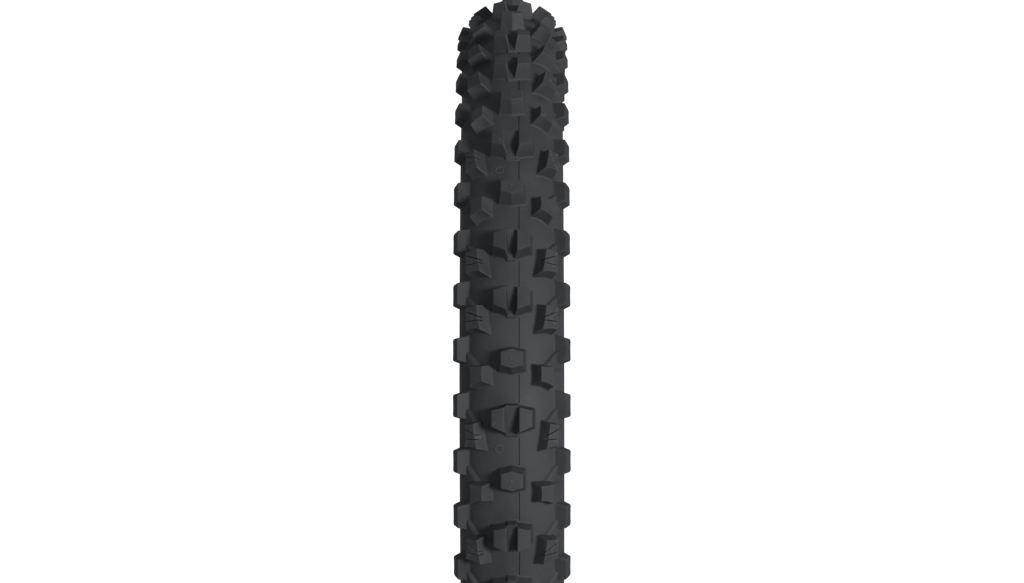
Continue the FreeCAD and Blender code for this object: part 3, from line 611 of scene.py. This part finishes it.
def split_knobs(kind, half_width, half_groove, groove_foot):
    """Both halves of a split middle knob, and the raised floor of the groove between them."""
    face = [
        (half_groove, -SPLIT_HEIGHT, 0), (half_width, -5.2, 0),
        (half_width, 7.2, 0), (half_groove, SPLIT_HEIGHT, 0),
    ]
    foot = [
        (groove_foot, -SPLIT_HEIGHT - 4.2, 0), (half_width + 2.2, -7.6, 0),
        (half_width + 2.2, 8.0, 0), (groove_foot, SPLIT_HEIGHT + 2.0, 0),
    ]
    place = KnobPlace(0, TREAD_RADIUS, ramp=RAMP, crown=CROWN)
    knob = knob_mesh(place, face, foot, MIDDLE_DEPTH, foot_rounding=0.9)
    build_knobs(f"{kind}_split_knobs", knob, rows_of(kind))
    tip = GROOVE_TIP_SHARE * half_groove
    floor_face = [
        (half_groove, SPLIT_HEIGHT - 0.3, 0), (tip, 10.9, 0), (-tip, 10.9, 0),
        (-half_groove, SPLIT_HEIGHT - 0.3, 0), (-half_groove, -SPLIT_HEIGHT + 0.3, 0),
        (-tip, -13.1, 0), (tip, -13.1, 0), (half_groove, -SPLIT_HEIGHT + 0.3, 0),
    ]
    floor_foot = [
        (half_groove, SPLIT_HEIGHT + 0.5, 0), (tip, 12.5, 0), (-tip, 12.5, 0),
        (-half_groove, SPLIT_HEIGHT + 0.5, 0), (-half_groove, -SPLIT_HEIGHT - 2.1, 0),
        (-tip, -14.7, 0), (tip, -14.7, 0), (half_groove, -SPLIT_HEIGHT - 2.1, 0),
    ]
    floor_place = KnobPlace(0, GROOVE_FLOOR, ramp=GROOVE_RAMP)
    floor = knob_mesh(floor_place, floor_face, floor_foot, GROOVE_DEPTH, rounding=1.2)
    build_knobs(f"{kind}_groove_floors", floor, rows_of(kind), sides=("",))


# how far a side knob's walls spread at its foot: sideways, ahead and behind
SIDE_DRAFT = (2.6, 2.6, 3.4)


def plain_knobs():
    """Side knobs beside the hexagons, longer on their outer edge."""
    half = 6.2
    face = [(-half, -5.9, -0.9), (half, -10.2, -0.9), (half, 5.9, -0.2), (-half, 5.9, -0.5)]
    place = KnobPlace(28.4, 336.1, tilt=34)
    knob = knob_mesh(place, face, spread(face, *SIDE_DRAFT), SIDE_DEPTH)
    build_knobs("plain_side_knobs", knob, rows_of("hexagon"), -PLAIN_LAG)


SIPE_DEPTH = 5.0
SIPE_WIDTH = 0.9
SIPE_OVERRUN = 3
SIPE_SLOPE = math.radians(23)
UPPER_SIPE = 3.2
LOWER_SIPE = -2.4
# the six sides of a slot whose corners are numbered by depth, end and edge
SLOT_SIDES = ((0, 1, 3, 2), (4, 6, 7, 5), (0, 2, 6, 4), (1, 5, 7, 3), (0, 4, 5, 1), (2, 3, 7, 6))


def cut_sipes(knob, place, reach):
    """Two thin slots cut into the face: the upper climbs outwards, the lower lies level."""
    points, polygons = knob
    ring_size = sum(len(polygon) == 3 for polygon in polygons)
    bottom = tuple(reversed(range(len(points) - 1 - ring_size, len(points) - 1)))
    mesh = bpy.data.meshes.new("sipe_blank")
    mesh.from_pydata([tuple(point) for point in points], [], polygons + [bottom])
    blank = bpy.data.objects.new("sipe_blank", mesh)
    bpy.context.scene.collection.objects.link(blank)
    slots = bmesh.new()
    climb = math.tan(SIPE_SLOPE) * reach
    for middle, rise in ((UPPER_SIPE, climb), (LOWER_SIPE, 0.0)):
        corners = []
        for drop in (-SIPE_OVERRUN, SIPE_DEPTH):
            for x, lift in ((-reach, -rise), (reach, rise)):
                for edge in (-SIPE_WIDTH / 2, SIPE_WIDTH / 2):
                    corners.append(slots.verts.new(place.below(x, middle + lift + edge, drop)))
        for polygon in SLOT_SIDES:
            slots.faces.new([corners[index] for index in polygon])
    bmesh.ops.recalc_face_normals(slots, faces=slots.faces[:])
    slot_mesh = bpy.data.meshes.new("sipe_slots")
    slots.to_mesh(slot_mesh)
    slots.free()
    cutter = bpy.data.objects.new("sipe_slots", slot_mesh)
    bpy.context.scene.collection.objects.link(cutter)
    cut = blank.modifiers.new("sipes", "BOOLEAN")
    cut.operation = "DIFFERENCE"
    cut.solver = "FAST"
    cut.object = cutter
    bpy.context.view_layer.update()
    evaluated = blank.evaluated_get(bpy.context.evaluated_depsgraph_get())
    result = bpy.data.meshes.new_from_object(evaluated)
    new_points = [vertex.co.copy() for vertex in result.vertices]
    new_faces = [tuple(polygon.vertices) for polygon in result.polygons]
    if len(new_faces) <= len(polygons) + 1:
        raise RuntimeError("the sipes cut nothing")
    bpy.data.objects.remove(blank)
    bpy.data.objects.remove(cutter)
    return new_points, new_faces


def siped_knobs(kind, across, out, tilt, half):
    """Side knobs beside the split knobs, slanted on their inner edge and cut by two sipes."""
    place = KnobPlace(across, out, tilt=tilt)
    slant = 1.7
    face = [(-half - slant, -10, -0.7), (half, -8.5, -0.6), (half, 8.5, -0.3), (-half + slant, 10, -0.3)]
    knob = knob_mesh(place, face, spread(face, *SIDE_DRAFT), SIDE_DEPTH)
    knob = cut_sipes(knob, place, half + SIPE_OVERRUN)
    build_knobs(f"{kind}_siped_side_knobs", knob, rows_of(kind), -SIPED_LAG)


def shoulder_knobs():
    """Knobs on the tyre's edge, one in every row, with two cut corners."""
    half = 4.8
    length = 8.8
    corner = 1.4
    face = [
        (half - corner, length, 0), (-half, length, -0.3), (-half, -length, 0),
        (half - corner, -length, 0), (half, -length + corner, -0.4), (half, length - corner, 0),
    ]
    place = KnobPlace(44.8, 317.2, tilt=67)
    knob = knob_mesh(place, face, spread(face, 2.4, 3.8, 3.8), SHOULDER_DEPTH)
    build_knobs("shoulder_knobs", knob, range(ROWS), SHOULDER_LEAD)


WEB_HEIGHT = 2.6
WEB_STEPS = 14
WEB_START = 8.5
WEB_LENGTH = 17
WEB_INNER_LEAN = 45
WEB_INNER_SWING = 17
WEB_OUTER_LEAN = 66
WEB_SUNK = 0.08


def web_patch():
    """A low web that follows the casing and sinks into it along its edges.

    Its inner edge runs from below the shoulder knob down to the side knob's upper corner.
    """
    vertices = []
    faces = []
    for row in range(WEB_STEPS + 1):
        t = row / WEB_STEPS
        along = WEB_START - WEB_LENGTH * t
        swing = min(1, max(0, (t - 0.1) / 0.8)) ** 0.9
        inner = math.radians(WEB_INNER_LEAN - WEB_INNER_SWING * swing)
        outer = math.radians(WEB_OUTER_LEAN)
        for column in range(WEB_STEPS + 1):
            u = column / WEB_STEPS
            lean = inner + (outer - inner) * u
            edge = min(1, u / 0.13) * min(1, (1 - u) / 0.15) * min(1, t / 0.12) * min(1, (1 - t) / 0.25)
            raised = WEB_HEIGHT * edge * edge * (3 - 2 * edge) - WEB_SUNK
            across, out = section_point(lean, raised)
            vertices.append(Vector((across, along, math.sqrt(out * out - along * along))))
    for row in range(WEB_STEPS):
        for column in range(WEB_STEPS):
            first = row * (WEB_STEPS + 1) + column
            faces.append((first, first + WEB_STEPS + 1, first + WEB_STEPS + 2, first + 1))
    return vertices, faces


def tie_webs():
    """A web in every row on both sides."""
    build_knobs("tie_webs", web_patch(), range(ROWS))


def dress_cad_nodes():
    """Materials for the CAD pieces that show as they are."""
    finishes = {
        "apex_filler": LINER,
        "inner_liner": LINER, "chafer": CHAFER, "bead_wrap": PLY, "breaker_ply": PLY, "carcass_ply": PLY,
        "bead_core": PLY, "vent_nubs": KNOB, "mould_rings": TREAD,
    }
    for name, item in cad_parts.items():
        for start, material in finishes.items():
            if name.startswith(start):
                if not item.material_slots:
                    item.data.materials.append(material)
                for place in item.material_slots:
                    place.material = material


def lamp(name, energy, angle, direction, receivers=None):
    """A soft distant lamp that shines from direction; receivers limits it to those objects."""
    data = bpy.data.lights.new(name, "SUN")
    data.energy = energy
    data.angle = math.radians(angle)
    item = bpy.data.objects.new(name, data)
    item.rotation_mode = "QUATERNION"
    item.rotation_quaternion = Vector(direction).to_track_quat("Z", "Y")
    bpy.context.scene.collection.objects.link(item)
    if receivers is not None:
        item.light_linking.receiver_collection = receivers
    return item


FLOOR_RADIUS = 300
FLOOR_GREY = 0.9
FLOOR_LIGHT = 3.2
FLOOR_LIGHT_ANGLE = 30
FLOOR_LIGHT_DIRECTION = (0.15, 0.1, 1)
KEY_LIGHT = 2.85
KEY_ANGLE = 16
KEY_DIRECTION = (0.79, 0.56, 0.07)
FILL_LEVEL = 0.27
FILL_TINT = (0.93, 0.96, 1.0, 1)


def stage_and_light():
    """Pale floor lit from above, and a large soft key light on the tyre from the front right."""
    floor_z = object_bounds()[0][2]
    bpy.ops.mesh.primitive_circle_add(
        vertices=96, radius=FLOOR_RADIUS, fill_type="NGON", location=(0, 0, floor_z))
    floor = bpy.context.object
    floor.name = "studio_floor"
    paint = bpy.data.materials.new("studio_floor_paint")
    paint.use_nodes = True
    shader = paint.node_tree.nodes["Principled BSDF"]
    shader.inputs["Base Color"].default_value = (FLOOR_GREY, FLOOR_GREY, FLOOR_GREY, 1)
    shader.inputs["Roughness"].default_value = 0.9
    floor.data.materials.append(paint)
    floor.visible_diffuse = False
    floor.visible_glossy = False
    stage_only = bpy.data.collections.new("stage_only")
    stage_only.objects.link(floor)
    lamp("floor_light", FLOOR_LIGHT, FLOOR_LIGHT_ANGLE, FLOOR_LIGHT_DIRECTION, stage_only)
    lamp("key_light", KEY_LIGHT, KEY_ANGLE, KEY_DIRECTION)
    world = bpy.data.worlds.new("studio")
    world.use_nodes = True
    tree = world.node_tree
    background = tree.nodes["Background"]
    path = tree.nodes.new("ShaderNodeLightPath")
    level = tree.nodes.new("ShaderNodeMapRange")
    level.inputs["To Min"].default_value = FILL_LEVEL
    level.inputs["To Max"].default_value = 1.0
    tree.links.new(path.outputs["Is Camera Ray"], level.inputs["Value"])
    tree.links.new(level.outputs["Result"], background.inputs["Strength"])
    tint = tree.nodes.new("ShaderNodeMix")
    tint.data_type = "RGBA"
    tint.inputs["A"].default_value = FILL_TINT
    tint.inputs["B"].default_value = (1, 1, 1, 1)
    tree.links.new(path.outputs["Is Camera Ray"], tint.inputs["Factor"])
    tree.links.new(tint.outputs["Result"], background.inputs["Color"])
    bpy.context.scene.world = world
    bpy.context.scene.view_settings.view_transform = "Standard"


CAMERA_ELEVATION = 6.1
CAMERA_SIDE = 0.215
CAMERA_DISTANCE = 3.47
LENS = 140.6
LOOK_UP = 1.53
LOOK_LEFT = 0.016
ROLL = -0.11


def camera():
    """Long lens ahead of the tyre, looking slightly down at the wheel and aimed above its centre."""
    data = bpy.data.cameras.new("camera")
    data.lens = LENS
    data.sensor_width = 36
    data.clip_end = 900
    item = bpy.data.objects.new("camera", data)
    elevation = math.radians(CAMERA_ELEVATION)
    side = math.radians(CAMERA_SIDE)
    back = Vector((
        math.cos(elevation) * math.cos(side),
        math.sin(side),
        math.sin(elevation) * math.cos(side),
    ))
    item.location = back * CAMERA_DISTANCE
    item.rotation_mode = "QUATERNION"
    aim = (-back).to_track_quat("-Z", "Y")
    turn = Matrix.Rotation(math.radians(LOOK_LEFT), 3, "Y") @ Matrix.Rotation(math.radians(LOOK_UP), 3, "X")
    roll = Matrix.Rotation(math.radians(ROLL), 3, "Z")
    item.rotation_quaternion = aim @ (turn @ roll).to_quaternion()
    bpy.context.scene.collection.objects.link(item)
    bpy.context.scene.camera = item


tread_skin()
sidewalls()
rotation_arrows()
hexagon_knobs()
split_knobs("wide", half_width=16, half_groove=6.1, groove_foot=0.6)
split_knobs("narrow", half_width=14.4, half_groove=4.55, groove_foot=0.4)
plain_knobs()
siped_knobs("narrow", across=31.5, out=334.2, tilt=36, half=6.4)
siped_knobs("wide", across=33.2, out=332.9, tilt=37, half=5.2)
shoulder_knobs()
tie_webs()
dress_cad_nodes()
stage_and_light()
camera()
